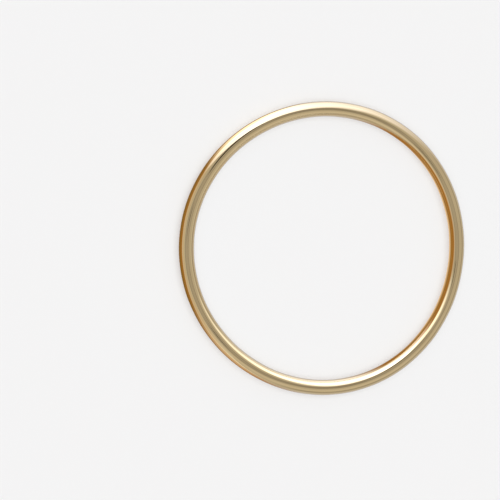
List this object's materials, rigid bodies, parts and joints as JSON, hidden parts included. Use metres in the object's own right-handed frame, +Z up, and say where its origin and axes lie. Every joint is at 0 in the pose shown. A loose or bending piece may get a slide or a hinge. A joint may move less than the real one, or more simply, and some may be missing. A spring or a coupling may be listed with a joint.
{
  "type": "bangle",
  "caption": "Plain closed bangle of polished round wire in pale yellow gold colour, slipped over the hand and worn loose on the wrist.",
  "frame": {"origin": "centre of the hoop, on the surface that it lies on", "axes": "+Z up along the hoop's axis, +X and +Y in the plane that it lies in"},
  "size_m": [0.0726, 0.0726, 0.0038],
  "materials": {
    "gold": "polished pale yellow gold plate"
  },
  "bodies": {
    "root": {"hoop": "gold"}
  },
  "joints": []
}
